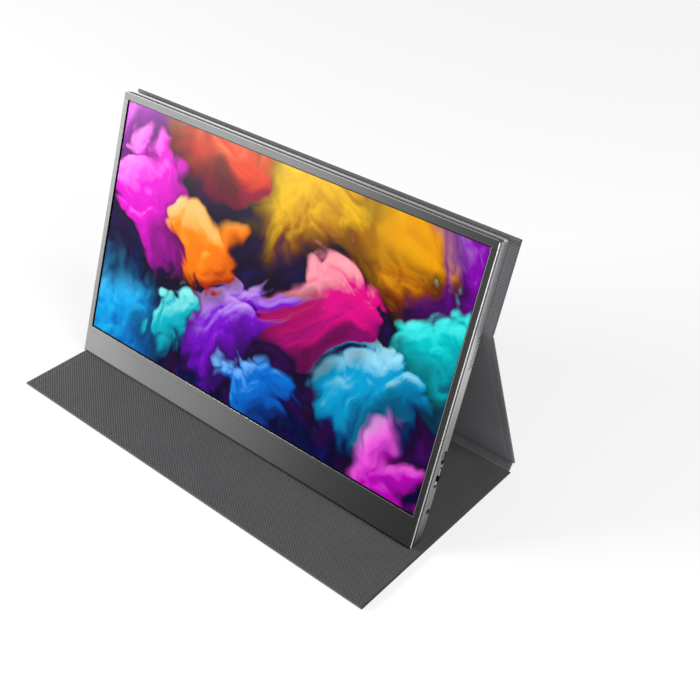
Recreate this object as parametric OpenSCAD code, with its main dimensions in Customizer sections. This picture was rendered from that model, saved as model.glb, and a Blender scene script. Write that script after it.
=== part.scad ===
// Portable monitor standing on its folio cover.
// The cover's front panel lies on the table and its strut leans forward from the back.
// The attach panel hangs from the strut's top and holds the monitor.
// Frame: +X to the viewer's right, +Y away from the viewer, +Z up, origin on the table under the middle.

/* [Screen] */
// Width of the lit picture
active_w = 344.2; // [300:0.1:380]
// Height of the lit picture
active_h = 193.6; // [170:0.1:215]
// Black border seen between the picture and the bezel
mask_w = 1; // [0.5:0.1:2]
// Width of the panel's edge beside the picture
lcd_side = 3.1; // [2.6:0.1:3.4]
// Width of the panel's edge above the picture
lcd_top = 3; // [2.4:0.1:3.6]
// Width of the panel's edge below the picture
lcd_foot = 9.4; // [7:0.1:11]

/* [Monitor case] */
// Bezel width at the left and right of the opening
bezel_side = 5.1; // [4.8:0.1:8]
// Bezel width above the opening
bezel_top = 5.6; // [5:0.1:9]
// Height of the chin below the opening
chin_h = 24.2; // [20:0.1:34]
// Height of the bezel bar between the opening and the chin plate
chin_rim = 4.6; // [3.5:0.1:7]
// Thickness of the closed monitor
case_t = 13; // [12.6:0.1:15]
// Radius of the four corners seen from the front
corner_r = 2.5; // [1:0.1:4]
// Radius of the rear edges
edge_r = 2; // [1:0.1:2.6]
// Thickness of the front bezel
bezel_t = 1.6; // [1.4:0.1:2]
// Thickness of the bezel's lip in front of the panel
lip_t = 0.9; // [0.7:0.1:1.1]
// Height of the dark seam between bezel and rear shell
seam_t = 0.4; // [0.3:0.1:0.6]
// Depth of the dark seam from the outside
seam_in = 0.6; // [0.3:0.1:0.8]
// Chamfer along the bezel's front edge
front_chamfer = 0.5; // [0.2:0.1:0.8]
// Chamfer along the rear shell's front edge
shell_chamfer = 0.6; // [0.2:0.1:0.9]
// Side wall of the rear shell
shell_wall = 1.8; // [1.4:0.1:2]
// Back wall of the rear shell
back_wall = 1.3; // [1:0.1:1.6]
// Flat of the monitor's lower edge behind its front face
foot_flat = 4; // [3:0.1:6]
// Height to which the lower edge is cut away at the back
foot_relief = 4.2; // [3.8:0.1:6]

/* [Stand] */
// Lean of the monitor from upright, in degrees
tilt = 19.4; // [12:0.1:26]
// Distance on the table from the monitor's lower edge back to the spine crease
stand_reach = 116.5; // [90:0.1:140]
// Distance by which the front panel reaches out before the monitor
base_reach = 59.9; // [30:0.1:110]
// Length of the attach panel from the fold to its top edge
attach_len = 66.3; // [50:0.1:90]
// Distance by which the attach panel stands out above the monitor
attach_over = 2.4; // [0:0.1:5]
// Distance between the two creases of the spine
spine_w = 6.5; // [6:0.1:16]
// Slope of the spine strip while standing, in degrees
spine_rise = 55; // [30:1:70]
// Distance by which the cover stands out on the left
cover_left = 0.8; // [0:0.1:8]
// Distance by which the cover stands out on the right
cover_right = 6.8; // [0:0.1:10]

/* [Cover panels] */
// Thickness of one stiffened panel
panel_t = 2.4; // [2:0.1:3.4]
// Thickness of the outer cloth and of the lining
skin_t = 0.6; // [0.4:0.1:0.8]
// Width of the pressed hem around each board
hem_w = 4; // [3:0.1:7]
// Gap between the monitor and the panel that holds it
seat_gap = 0.3; // [0.2:0.05:0.6]
// Gap between a crease roll and the panel that turns round it
crease_gap = 0.3; // [0.3:0.05:0.6]
// Radius of the attach panel's disc magnets
disc_r = 5; // [3:0.1:7]
// Length of the foot magnets in the front panel
bar_w = 60; // [30:1:90]
// Breadth of the foot magnets
bar_b = 6; // [4:0.1:9]

/* [Ports and speakers] */
// Distance of the ports and buttons behind the front face
port_y = 9.4; // [9:0.1:9.6]
// Height of the type C port above the lower edge
usb_h = 70.3; // [66:0.1:74]
// Height of the status light
led_h = 64; // [63.5:0.1:64.5]
// Height of the large video port
hdmi_h = 55; // [46:0.1:55.5]
// Height of the headphone jack
jack_h = 28.2; // [24:0.1:36]
// Height of the middle of the speaker grille
grille_h = 148.6; // [144:0.1:156]
// Number of grille holes in one row
grille_n = 12; // [6:1:14]
// Spacing of the grille holes
grille_pitch = 2; // [1.8:0.05:2.4]
// Radius of one grille hole
grille_r = 0.55; // [0.4:0.05:0.7]
// Radius of the headphone plug's hole
jack_r = 1.8; // [1.75:0.01:1.85]

/* [Buttons] */
// Height of the power button on the left side
power_h = 92; // [88:0.1:98]
// Length of the power button
power_w = 8; // [6:0.1:10]
// Height of the menu rocker's middle
rocker_h = 62; // [56:0.1:66]
// Length of the menu rocker
rocker_w = 24; // [18:0.1:26]
// Thickness of both buttons
button_t = 2.8; // [2.2:0.1:2.8]
// Distance by which the buttons stand out
button_out = 0.5; // [0.2:0.1:0.7]
// Travel of the power button
button_travel = 0.4; // [0.2:0.05:0.5]

/* [Hidden] */
$fn = 48;
wire_fn = 16;
eps = 0.01;
past = 1;
fit = 0.1;

// Case sizes that follow from the screen and the bezel
mon_w = active_w + 2 * mask_w + 2 * bezel_side;
mon_h = active_h + 2 * mask_w + bezel_top + chin_h;
open_w = active_w + 2 * mask_w;
open_h = active_h + 2 * mask_w;
shell_y = bezel_t + seam_t;
cavity_x = mon_w / 2 - shell_wall;
cavity_y = case_t - back_wall;
cavity_z0 = foot_relief + back_wall;
cavity_z1 = mon_h - shell_wall;
chin_line = chin_h - chin_rim;
chin_gap = 0.1;

// Panel stack, each layer against the one before it, measured back from the front face
lcd_w = active_w + 2 * lcd_side;
lcd_z0 = chin_h + mask_w - lcd_foot;
lcd_z1 = chin_h + mask_w + active_h + lcd_top;
tape_t = 0.2;
tape_cover = 0.75;
cell_y = lip_t + tape_t;
cell_t = 1;
film_y = cell_y + cell_t;
film_t = 0.4;
guide_y = film_y + film_t;
guide_t = 0.8;
mirror_y = guide_y + guide_t;
mirror_t = 0.2;
tray_y = mirror_y + mirror_t;
tray_t = 0.4;
tray_rim = 0.8;
tray_back = tray_y + tray_t;
stack_in = tray_rim + fit;
led_b = 2.4;
led_strip_b = 1;
lamp_w = 4;
lamp_step = 12;
lamp_n = floor(lcd_w / lamp_step) - 2;
pocket_gap = 0.2;

// Boards, with the main board's back level with the type C socket
usb_t = 3.2;
driver_w = 200;
driver_b = 14;
driver_t = 0.6;
driver_x = -40;
board_t = 0.8;
board_back = port_y - usb_t / 2;
board_y = board_back - board_t;
board_w = 108;
board_side = 0.4;
board_under = 6;
board_over = 14;
board_x1 = cavity_x - board_side;
board_x0 = board_x1 - board_w;
board_z0 = jack_h - board_under;
board_z1 = usb_h + board_over;
boss_r = 2.4;
screw_r = 0.8;
screw_in = 5;
head_r = 1.7;
head_t = 0.35;
hole_gap = 0.05;
screw_end = cavity_y - board_back - 0.5;
film_sheet = 0.15;
film_in = 1;
wire_r = 0.5;
wire_y = cavity_y - 0.7;
wire_drop = 38;
wire_z = grille_h - wire_drop;
plug_b = 4;
flex_t = 0.2;
flex_w = 5;
tail_w = 30;
cable_w = 12;
cable_b = 8;
cable_low = 4;
cable_in = 20;
cable_up = 24;
lead_in = 8;
left_in = 14;

// Ports
usb_w = 8.94;
hdmi_w = 14;
hdmi_t = 4.4;
hdmi_cut = 0.35;
jack_t = 4.4;
jack_w = 6.4;
jack_len = 12;
barrel_t = 0.25;
ear_w = 1.2;
ear_t = 0.3;
ear_out = 0.5;
port_len = 8;
port_in = 0.4;
port_floor = 1;
usb_tongue = 0.7;
hdmi_tongue = 1;
tongue_in = 1;
port_gap = 0.15;
shell_sheet = 0.3;
light_r = 0.55;
light_y = board_back + 1.6;
lamp_t = 2.4;
lamp_b = 1.6;
grille_rows = [port_y - 1.2, port_y + 0.8];
speaker_w = 15;
speaker_h = 60;
speaker_t = 5;
cone_r = 5.5;
cone_in = 1;
sound_in = 3;

// Buttons
flange_t = 0.8;
flange_rim = 0.6;
button_y = port_y - 0.8;
slot_gap = 0.25;
rocker_slot = 0.5;
rocker_room = 0.8;
switch_t = 3;
switch_w = 4;
key_board_t = 0.8;
key_x = -mon_w / 2 + shell_wall;
key_gap = 0.2;
rocker_play = 0.6;
rib_out = 1.6;
rib_in = 0.2;
post_w = 3;
post_gap = 0.3;
switch_x = key_x + key_gap + flange_t + button_travel + fit;
rocker_x = key_x + rocker_room + flange_t + rocker_play;
key_board_over = 2;
key_board_x1 = switch_x + switch_w + key_board_over;
pivot_r = 0.8;
pivot_x = key_x + rocker_room + flange_t + rib_out;

// Stand, from the foot on the front panel up to the fold and down to the spine
crease = panel_t / 2 + crease_gap;
foot_z = panel_t + seat_gap + foot_flat * sin(tilt);
fold_h = mon_h + attach_over - attach_len;
fold_d = case_t + seat_gap + panel_t / 2;
fold_dy = fold_h * sin(tilt) + fold_d * cos(tilt);
fold_z = foot_z + fold_h * cos(tilt) - fold_d * sin(tilt);
heel_dy = stand_reach + spine_w * cos(spine_rise);
heel_z = panel_t / 2 + spine_w * sin(spine_rise);
strut_len = norm([fold_dy - heel_dy, fold_z - heel_z]);
strut_rise = atan2(fold_z - heel_z, fold_dy - heel_dy);
attach_rise = 90 - tilt;

// The origin lies under the middle of the standing part
foot_y = (base_reach - heel_dy - panel_t / 2) / 2;
cover_w = mon_w + cover_left + cover_right;
mon_x = (cover_left - cover_right) / 2;
spine_y = foot_y + stand_reach;
heel_y = foot_y + heel_dy;
fold_y = foot_y + fold_dy;
base_y0 = foot_y - base_reach;
base_y1 = spine_y - crease;

// Magnets and steel
board_gap = 0.2;
bar_span = 220;
foot_bar = 3;
foot_bar_in = 0.5;
disc_n = 6;
disc_step = 44;
disc_in = 20;
keeper_x = 12;
keeper_w = 120;
keeper_t = 0.6;
keeper_low = 8;
keeper_top = 8;

// Cloth and finish colours
cloth = [0.30, 0.30, 0.31];
lining = [0.27, 0.27, 0.28];
board_grey = [0.55, 0.53, 0.50];
metal = [0.62, 0.62, 0.63];
steel = [0.75, 0.76, 0.78];
green = [0.08, 0.35, 0.20];
black = [0.05, 0.05, 0.06];

// A box between two corners
module box(a, b) {
    translate(a) cube(b - a);
}

// Places its children, drawn upright with their front at y = 0, where the leaning monitor stands
module on_monitor() {
    translate([mon_x, foot_y, foot_z]) rotate([-tilt, 0, 0]) children();
}

// Places its children, drawn flat with the inner side up, on one panel of the cover
module on_panel(y, z, rise) {
    translate([0, y, z]) rotate([rise, 0, 0]) children();
}

module on_strut() {
    on_panel(heel_y, heel_z, strut_rise) children();
}

module on_attach() {
    on_panel(fold_y, fold_z, attach_rise) children();
}

// A plate with round corners, standing on z = 0, from depth y0 to y1
module round_plate(w, h, r, y0, y1) {
    translate([0, y1, 0]) rotate([90, 0, 0]) linear_extrude(y1 - y0) union() {
        translate([-w / 2 + r, 0]) square([w - 2 * r, h]);
        translate([-w / 2, r]) square([w, h - 2 * r]);
        for (x = [-w / 2 + r, w / 2 - r], z = [r, h - r]) translate([x, z]) circle(r);
    }
}

// The case's side view as (depth, height), with a chamfer c in front and a radius r at the upper back
module side_view(y0, y1, c, r) {
    difference() {
        union() {
            polygon([
                [y0, c], [y0, mon_h - c], [y0 + c, mon_h],
                [y1 - r, mon_h], [y1 - r, 0], [y0 + c, 0]
            ]);
            translate([y1 - r - eps, 0]) square([r + eps, mon_h - r]);
            if (r > 0) translate([y1 - r, mon_h - r]) circle(r);
        }
        polygon([
            [foot_flat, 0], [case_t, foot_relief], [case_t + past, foot_relief],
            [case_t + past, -past], [foot_flat, -past]
        ]);
    }
}

// The case's plan view as (width, depth), with a chamfer c in front and a radius r at the back
module plan_view(y0, y1, c, r) {
    union() {
        polygon([
            [-mon_w / 2 + c, y0], [mon_w / 2 - c, y0], [mon_w / 2, y0 + c],
            [mon_w / 2, y1 - r], [-mon_w / 2, y1 - r], [-mon_w / 2, y0 + c]
        ]);
        translate([-mon_w / 2 + r, y1 - r - eps]) square([mon_w - 2 * r, r + eps]);
        if (r > 0) for (x = [-mon_w / 2 + r, mon_w / 2 - r]) translate([x, y1 - r]) circle(r);
    }
}

// The solid outer form of the case between two depths
module case_form(y0, y1, c, r) {
    intersection() {
        round_plate(mon_w, mon_h, corner_r, y0, y1);
        translate([-mon_w / 2 - past, 0, 0]) rotate([90, 0, 90]) linear_extrude(mon_w + 2 * past)
            side_view(y0, y1, c, r);
        translate([0, 0, -past]) linear_extrude(mon_h + 2 * past) plan_view(y0, y1, c, r);
    }
}

// The recess behind the bezel's lip that takes the panel
module panel_pocket() {
    box([-lcd_w / 2 - pocket_gap, lip_t, lcd_z0 - pocket_gap],
        [lcd_w / 2 + pocket_gap, bezel_t + past, lcd_z1 + pocket_gap]);
}

module front_bezel() {
    color(metal) on_monitor() difference() {
        case_form(0, bezel_t, front_chamfer, 0);
        box([-mon_w, -past, -past], [mon_w, bezel_t + past, chin_line]);
        box([-open_w / 2, -past, chin_h], [open_w / 2, bezel_t + past, chin_h + open_h]);
        panel_pocket();
    }
}

module chin_plate() {
    color(metal) on_monitor() difference() {
        case_form(0, bezel_t, front_chamfer, 0);
        box([-mon_w, -past, chin_line - chin_gap], [mon_w, bezel_t + past, mon_h + past]);
        panel_pocket();
    }
}

// Black glue line that closes the seam between bezel and shell
module parting_gasket() {
    color(black) on_monitor() difference() {
        translate([0, 0, seam_in])
            round_plate(mon_w - 2 * seam_in, mon_h - 2 * seam_in, corner_r, bezel_t, shell_y);
        box([-cavity_x, 0, cavity_z0], [cavity_x, case_t, cavity_z1]);
    }
}

// A slot with round ends through a side wall, w long up the wall and t across it
module stadium(w, t, x0, x1, y, z) {
    translate([x0, y, z]) rotate([0, 90, 0]) linear_extrude(x1 - x0) union() {
        square([w - t, t], center = true);
        for (s = [-1, 1]) translate([s * (w - t) / 2, 0]) circle(t / 2);
    }
}

// The video port's outline, with its two corners cut off on the rear side
module hdmi_outline(w, t) {
    cut = t * hdmi_cut;
    polygon([
        [-w / 2, -t / 2], [w / 2, -t / 2], [w / 2, t / 2 - cut],
        [w / 2 - cut, t / 2], [-w / 2 + cut, t / 2], [-w / 2, t / 2 - cut]
    ]);
}

module hdmi_block(w, t, x0, x1) {
    translate([x0, hdmi_y, hdmi_h]) rotate([0, 90, 0]) linear_extrude(x1 - x0) hdmi_outline(w, t);
}

// Depth of each port's middle
hdmi_y = cavity_y - hdmi_t / 2 - fit;
jack_y = cavity_y - jack_t / 2 - fit;

// Two staggered rows of grille holes through the wall on the side s
module grille(s) {
    for (row = [0, 1], i = [0 : grille_n - 1])
        translate([
            s * (mon_w / 2 + past), grille_rows[row], grille_h + (i - grille_n / 2 + row / 2) * grille_pitch
        ]) rotate([0, -s * 90, 0]) cylinder(r = grille_r, h = shell_wall + 2 * past);
}

board_holes = [
    for (x = [board_x0 + screw_in, board_x1 - jack_len - port_len])
        for (z = [board_z0 + screw_in, board_z1 - screw_in]) [x, z]
];

module at_board_holes(y) {
    for (p = board_holes) translate([p[0], y, p[1]]) rotate([-90, 0, 0]) children();
}

// The slot through the left wall for one of the buttons
module key_slot(w, z) {
    stadium(w, button_t + 2 * slot_gap, -mon_w / 2 - past, key_x + past, button_y, z);
}

module rear_shell() {
    color(metal) on_monitor() difference() {
        union() {
            difference() {
                case_form(shell_y, case_t, shell_chamfer, edge_r);
                box([-cavity_x, shell_y - past, cavity_z0], [cavity_x, cavity_y, cavity_z1]);
            }
            at_board_holes(board_back) cylinder(r = boss_r, h = cavity_y - board_back + eps);
        }
        at_board_holes(board_back - past) cylinder(r = screw_r + hole_gap, h = screw_end + past + fit);
        stadium(usb_w + 2 * port_gap, usb_t + 2 * port_gap, cavity_x - past, mon_w / 2 + past, port_y, usb_h);
        hdmi_block(hdmi_w + 2 * port_gap, hdmi_t + 2 * port_gap, cavity_x - past, mon_w / 2 + past);
        translate([cavity_x - past, jack_y, jack_h]) rotate([0, 90, 0])
            cylinder(r = jack_r + barrel_t + port_gap, h = shell_wall + 2 * past);
        translate([cavity_x - past, light_y, led_h]) rotate([0, 90, 0])
            cylinder(r = light_r + hole_gap, h = shell_wall + 2 * past);
        grille(1);
        grille(-1);
        key_slot(power_w + 2 * slot_gap, power_h);
        key_slot(rocker_w + 2 * rocker_slot, rocker_h);
    }
}

// A flat layer of the panel stack, set in from the panel's edge
module layer(y, t, inset, foot) {
    box([-lcd_w / 2 + inset, y, lcd_z0 + foot], [lcd_w / 2 - inset, y + t, lcd_z1 - inset]);
}

module lcd_tape() {
    overlap = (lcd_side - mask_w) * tape_cover;
    color(black) on_monitor() difference() {
        layer(lip_t, tape_t, 0, 0);
        box([-lcd_w / 2 + overlap, 0, lcd_z0 + overlap], [lcd_w / 2 - overlap, case_t, lcd_z1 - overlap]);
    }
}

module lcd_cell() {
    color([0.15, 0.2, 0.5]) on_monitor() layer(cell_y, cell_t, 0, 0);
}

module optical_films() {
    color([0.9, 0.9, 0.92]) on_monitor() layer(film_y, film_t, stack_in, stack_in);
}

module light_guide() {
    color([0.85, 0.9, 0.95, 0.6]) on_monitor() layer(guide_y, guide_t, stack_in, stack_in + led_b + fit);
}

// Edge lamp: a thin strip board with a row of small lamps
module led_strip() {
    color([0.95, 0.9, 0.6]) on_monitor() union() {
        z = lcd_z0 + stack_in;
        box([-lcd_w / 2 + stack_in, guide_y, z], [lcd_w / 2 - stack_in, guide_y + guide_t, z + led_strip_b]);
        for (i = [0 : lamp_n - 1]) {
            x = (i - (lamp_n - 1) / 2) * lamp_step;
            box([x - lamp_w / 2, guide_y, z + led_strip_b - eps],
                [x + lamp_w / 2, guide_y + guide_t, z + led_b]);
        }
    }
}

module reflector_sheet() {
    color("white") on_monitor() layer(mirror_y, mirror_t, stack_in, stack_in);
}

// Thin sheet tray whose rim carries the cell
module lcd_tray() {
    color(steel) on_monitor() difference() {
        layer(film_y, tray_back - film_y, 0, 0);
        box([-lcd_w / 2 + tray_rim, 0, lcd_z0 + tray_rim],
            [lcd_w / 2 - tray_rim, tray_y, lcd_z1 - tray_rim]);
    }
}

module panel_driver_board() {
    color(green) on_monitor()
        box([driver_x - driver_w / 2, tray_back, lcd_z0],
            [driver_x + driver_w / 2, tray_back + driver_t, lcd_z0 + driver_b]);
}

// Flex tails that join the cell's lower edge to the driver board
module panel_flex_tails() {
    color([0.75, 0.5, 0.15]) on_monitor() for (i = [-1.5 : 1 : 1.5])
        box([driver_x + i * driver_w / 4 - tail_w / 2, bezel_t + fit, lcd_z0 - flex_t],
            [driver_x + i * driver_w / 4 + tail_w / 2, tray_back + driver_t, lcd_z0]);
}

cable_x0 = driver_x + driver_w / 2 - cable_in;
cable_z = board_z0 + cable_up;

// Flat cable from the driver board to the main board's edge
module display_cable() {
    color([0.2, 0.2, 0.22]) on_monitor() union() {
        z = lcd_z0 + cable_low;
        box([cable_x0, tray_back + driver_t, z], [cable_x0 + cable_w, board_y + flex_t, z + plug_b]);
        box([cable_x0, board_y, z], [cable_x0 + cable_w, board_y + flex_t, cable_z + cable_b]);
        box([cable_x0, board_y, cable_z], [board_x0, board_y + flex_t, cable_z + cable_b]);
    }
}

module board_insulator() {
    color([0.1, 0.1, 0.1]) on_monitor()
        box([board_x0 + film_in, tray_back, board_z0 + film_in],
            [lcd_w / 2 - film_in, tray_back + film_sheet, board_z1 - film_in]);
}

// A notch in the board's outer edge for a socket
module board_notch(d, w, z) {
    box([board_x1 - d - port_gap, 0, z - w / 2 - port_gap], [board_x1 + past, case_t, z + w / 2 + port_gap]);
}

module main_board() {
    color(green) on_monitor() difference() {
        box([board_x0, board_y, board_z0], [board_x1, board_back, board_z1]);
        at_board_holes(board_y - past) cylinder(r = screw_r + 2 * fit, h = board_t + 2 * past);
        board_notch(port_len, hdmi_w, hdmi_h);
        board_notch(jack_len, jack_w, jack_h);
    }
}

chip_in = 46;
chip_x = board_x0 + chip_in;
chip_z = (board_z0 + board_z1) / 2;
chip_w = 16;
chip_t = 1.2;
row_chip = [8, 10, 1];
row_in = 14;
row_under = 12;
row_step = 16;
row_n = 3;
small_chip = [3, 3, 1.5];
small_out = 20;
small_up = 14;
small_step = 6;
small_n = 4;
shield_w = 30;
shield_h = 24;
shield_t = 2.2;

// A chip that lies on the board, with its width, height and thickness in size
module chip(x, z, size) {
    box([x, board_back, z], [x + size[0], board_back + size[2], z + size[1]]);
}

module board_chips() {
    color(black) on_monitor() {
        chip(chip_x - chip_w / 2, chip_z - chip_w / 2, [chip_w, chip_w, chip_t]);
        for (i = [0 : row_n - 1]) chip(board_x0 + row_in, board_z0 + row_under + i * row_step, row_chip);
        for (i = [0 : small_n - 1]) chip(chip_x + small_out + i * small_step, chip_z + small_up, small_chip);
    }
}

// Drawn can over the largest chip
module chip_shield() {
    color(steel) on_monitor() difference() {
        x = shield_w / 2;
        z = shield_h / 2;
        chip(chip_x - x, chip_z - z, [shield_w, shield_h, shield_t]);
        box([chip_x - x + shell_sheet, 0, chip_z - z + shell_sheet],
            [chip_x + x - shell_sheet, board_back + shield_t - shell_sheet, chip_z + z - shell_sheet]);
    }
}

module board_screws() {
    color(steel) on_monitor() {
        at_board_holes(board_y - head_t) cylinder(r = head_r, h = head_t);
        at_board_holes(board_y - eps) cylinder(r = screw_r, h = board_t + screw_end - fit);
    }
}

// Type C socket: a round-ended sheet shell with its tongue
module usb_c_port() {
    x1 = mon_w / 2 - port_in;
    floor_x = x1 - port_len + port_floor;
    color(steel) on_monitor() union() {
        difference() {
            stadium(usb_w, usb_t, x1 - port_len, x1, port_y, usb_h);
            stadium(usb_w - 2 * shell_sheet, usb_t - 2 * shell_sheet, floor_x, x1 + past, port_y, usb_h);
        }
        box([floor_x - eps, port_y - usb_tongue / 2, usb_h - usb_w / 2 + usb_t / 2],
            [x1 - tongue_in, port_y + usb_tongue / 2, usb_h + usb_w / 2 - usb_t / 2]);
    }
}

// Video socket set into the board's notch, with ears that rest on the board
module hdmi_port() {
    x1 = mon_w / 2 - port_in;
    x0 = board_x1 - port_len;
    color(steel) on_monitor() union() {
        difference() {
            hdmi_block(hdmi_w, hdmi_t, x0, x1);
            hdmi_block(hdmi_w - 2 * shell_sheet, hdmi_t - 2 * shell_sheet, x0 + port_floor, x1 + past);
        }
        box([x0 + port_floor - eps, hdmi_y - hdmi_tongue / 2, hdmi_h - hdmi_w / 3],
            [x1 - tongue_in, hdmi_y + hdmi_tongue / 2, hdmi_h + hdmi_w / 3]);
        port_ears(x0 + port_floor, x0 + port_len / 2, hdmi_w, hdmi_h);
    }
}

// Two ears beside a socket w wide, soldered on the board from x0 to x1
module port_ears(x0, x1, w, z) {
    for (s = [-1, 1]) {
        middle = z + s * (w / 2 + ear_out);
        box([x0, board_back, middle - ear_w / 2], [x1, board_back + ear_t, middle + ear_w / 2]);
    }
}

// Headphone socket with its barrel in the wall's hole
module audio_jack() {
    x1 = board_x1;
    x0 = x1 - jack_len;
    color(black) on_monitor() difference() {
        union() {
            box([x0, jack_y - jack_t / 2, jack_h - jack_w / 2],
                [x1, jack_y + jack_t / 2, jack_h + jack_w / 2]);
            translate([x1 - eps, jack_y, jack_h]) rotate([0, 90, 0])
                cylinder(r = jack_r + barrel_t, h = mon_w / 2 - port_in - x1);
            port_ears(x0 + 2 * port_floor, x1 - 3 * port_floor, jack_w, jack_h);
        }
        translate([x0 + port_floor, jack_y, jack_h]) rotate([0, 90, 0])
            cylinder(r = jack_r, h = 2 * jack_len);
    }
}

// Lamp on the board with a clear pipe through the wall
module status_light() {
    color([0.8, 0.9, 1.0]) on_monitor() union() {
        lamp_x = board_x1 - lamp_b;
        box([lamp_x - lamp_b, board_back, led_h - lamp_b / 2],
            [lamp_x, board_back + lamp_t, led_h + lamp_b / 2]);
        translate([lamp_x - eps, light_y, led_h]) rotate([0, 90, 0])
            cylinder(r = light_r, h = mon_w / 2 - fit - lamp_x);
    }
}

// Flat speaker box against the grille on the side s
module speaker(s) {
    sound_h = grille_n * grille_pitch / 2 + past;
    color(black) on_monitor() difference() {
        box([s > 0 ? cavity_x - speaker_w : -cavity_x, cavity_y - speaker_t, grille_h - speaker_h / 2],
            [s > 0 ? cavity_x : -cavity_x + speaker_w, cavity_y, grille_h + speaker_h / 2]);
        translate([s * (cavity_x - speaker_w / 2), cavity_y - speaker_t - past, grille_h - speaker_h / 4])
            rotate([-90, 0, 0]) cylinder(r = cone_r, h = cone_in + past);
        box([s > 0 ? cavity_x - sound_in : -cavity_x - past, grille_rows[0] - grille_r, grille_h - sound_h],
            [s > 0 ? cavity_x + past : -cavity_x + sound_in, grille_rows[1] + grille_r, grille_h + sound_h]);
    }
}

module speaker_right() {
    speaker(1);
}

module speaker_left() {
    speaker(-1);
}

module wire(a, b) {
    d = b - a;
    translate(a) rotate([0, acos(d[2] / norm(d)), atan2(d[1], d[0])])
        cylinder(r = wire_r, h = norm(d), $fn = wire_fn);
}

// Leads from both speakers to plugs on the main board
module speaker_leads() {
    right_x = cavity_x - speaker_w / 2;
    left_end = board_x0 + left_in;
    low = grille_h - speaker_h / 2;
    plug_z = board_z1 - film_in - plug_b / 2;
    color([0.6, 0.1, 0.1]) on_monitor() {
        union() {
            wire([right_x, wire_y, plug_z], [right_x, wire_y, low]);
            lead_plug(right_x);
        }
        union() {
            wire([-right_x, wire_y, low], [-right_x, wire_y, wire_z]);
            translate([-right_x, wire_y, wire_z]) sphere(r = wire_r, $fn = wire_fn);
            wire([-right_x, wire_y, wire_z], [left_end, wire_y, wire_z]);
            translate([left_end, wire_y, wire_z]) sphere(r = wire_r, $fn = wire_fn);
            wire([left_end, wire_y, wire_z], [left_end, wire_y, plug_z]);
            lead_plug(left_end);
        }
    }
}

module lead_plug(x) {
    box([x - plug_b / 2, board_back, board_z1 - film_in - plug_b],
        [x + plug_b / 2, cavity_y - fit, board_z1 - film_in]);
}

// Key board on the back wall, with the power switch, two rocker switches and the rocker's post
module button_board() {
    front_y = cavity_y - key_board_t;
    color(green) on_monitor() union() {
        box([key_x + key_gap, front_y, rocker_h - rocker_w / 2],
            [key_board_x1, cavity_y, power_h + power_w]);
        for (z = [power_h, rocker_h - rocker_w / 3, rocker_h + rocker_w / 3])
            box([z == power_h ? switch_x : rocker_x, front_y - switch_t, z - switch_w / 2],
                [(z == power_h ? switch_x : rocker_x) + switch_w, front_y + eps, z + switch_w / 2]);
        box([pivot_x + pivot_r + post_gap, front_y - switch_t, rocker_h - post_w / 2],
            [switch_x + switch_w, front_y + eps, rocker_h + post_w / 2]);
    }
}

// Flat lead along the back wall to the main board
module button_lead() {
    lead_z = rocker_h;
    lead_x = board_x0 + lead_in;
    color([0.75, 0.5, 0.15]) on_monitor() union() {
        box([key_board_x1, cavity_y - flex_t, lead_z], [lead_x, cavity_y, lead_z + flex_w]);
        box([lead_x - flex_t, board_back, lead_z], [lead_x, cavity_y, lead_z + flex_w]);
    }
}

// Steel sheets that the attach panel's magnets hold
module keeper_plates() {
    color(steel) on_monitor() for (s = [-1, 1])
        box([s > 0 ? keeper_x : -keeper_x - keeper_w, cavity_y - keeper_t, fold_h + keeper_low],
            [s > 0 ? keeper_x + keeper_w : -keeper_x, cavity_y, cavity_z1 - keeper_top]);
}

// Steel bar above the monitor's foot, held by the front panel's magnets
module foot_keeper() {
    color(steel) on_monitor()
        box([-(bar_span + bar_w) / 2, tray_back + foot_bar_in, cavity_z0],
            [(bar_span + bar_w) / 2, cavity_y - foot_bar_in, cavity_z0 + foot_bar]);
}

// Power button: a cap in the wall's slot and a flange behind the wall
module power_button() {
    color(metal) on_monitor() key_cap(power_w, key_x + key_gap, power_h);
}

// A cap w long up the wall, with a flange that starts at x
module key_cap(w, x, z) {
    stadium(w, button_t, -mon_w / 2 - button_out, x + eps, button_y, z);
    stadium(w + 2 * flange_rim, button_t + 2 * flange_rim, x, x + flange_t, button_y, z);
}

// Menu rocker: a cap, a flange and a rounded rib that rocks on the key board's post
module menu_rocker() {
    flange_x = key_x + rocker_room;
    rib_t = button_t - 2 * rib_in;
    color(metal) on_monitor() union() {
        key_cap(rocker_w, flange_x, rocker_h);
        box([flange_x + flange_t - eps, button_y - rib_t / 2, rocker_h - pivot_r],
            [pivot_x, button_y + rib_t / 2, rocker_h + pivot_r]);
        translate([pivot_x, button_y - rib_t / 2, rocker_h]) rotate([-90, 0, 0])
            cylinder(r = pivot_r, h = rib_t);
    }
}

// One panel's outer cloth with its pressed hem, from y0 to y1, drawn flat and centred on z = 0
module panel_outer(y0, y1) {
    difference() {
        box([-cover_w / 2, y0, -panel_t / 2], [cover_w / 2, y1, panel_t / 2 - skin_t]);
        box([-cover_w / 2 + hem_w, y0 + hem_w, -panel_t / 2 + skin_t],
            [cover_w / 2 - hem_w, y1 - hem_w, panel_t]);
    }
}

module panel_board(y0, y1) {
    inset = hem_w + board_gap;
    box([-cover_w / 2 + inset, y0 + inset, -panel_t / 2 + skin_t],
        [cover_w / 2 - inset, y1 - inset, panel_t / 2 - skin_t]);
}

module panel_lining(y0, y1) {
    box([-cover_w / 2, y0, panel_t / 2 - skin_t], [cover_w / 2, y1, panel_t / 2]);
}

// A rolled crease along the whole width of the cover
module crease_roll(y) {
    translate([-cover_w / 2, y, 0]) rotate([0, 90, 0]) cylinder(r = panel_t / 2, h = cover_w);
}

module on_base() {
    translate([0, 0, panel_t / 2]) children();
}

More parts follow.
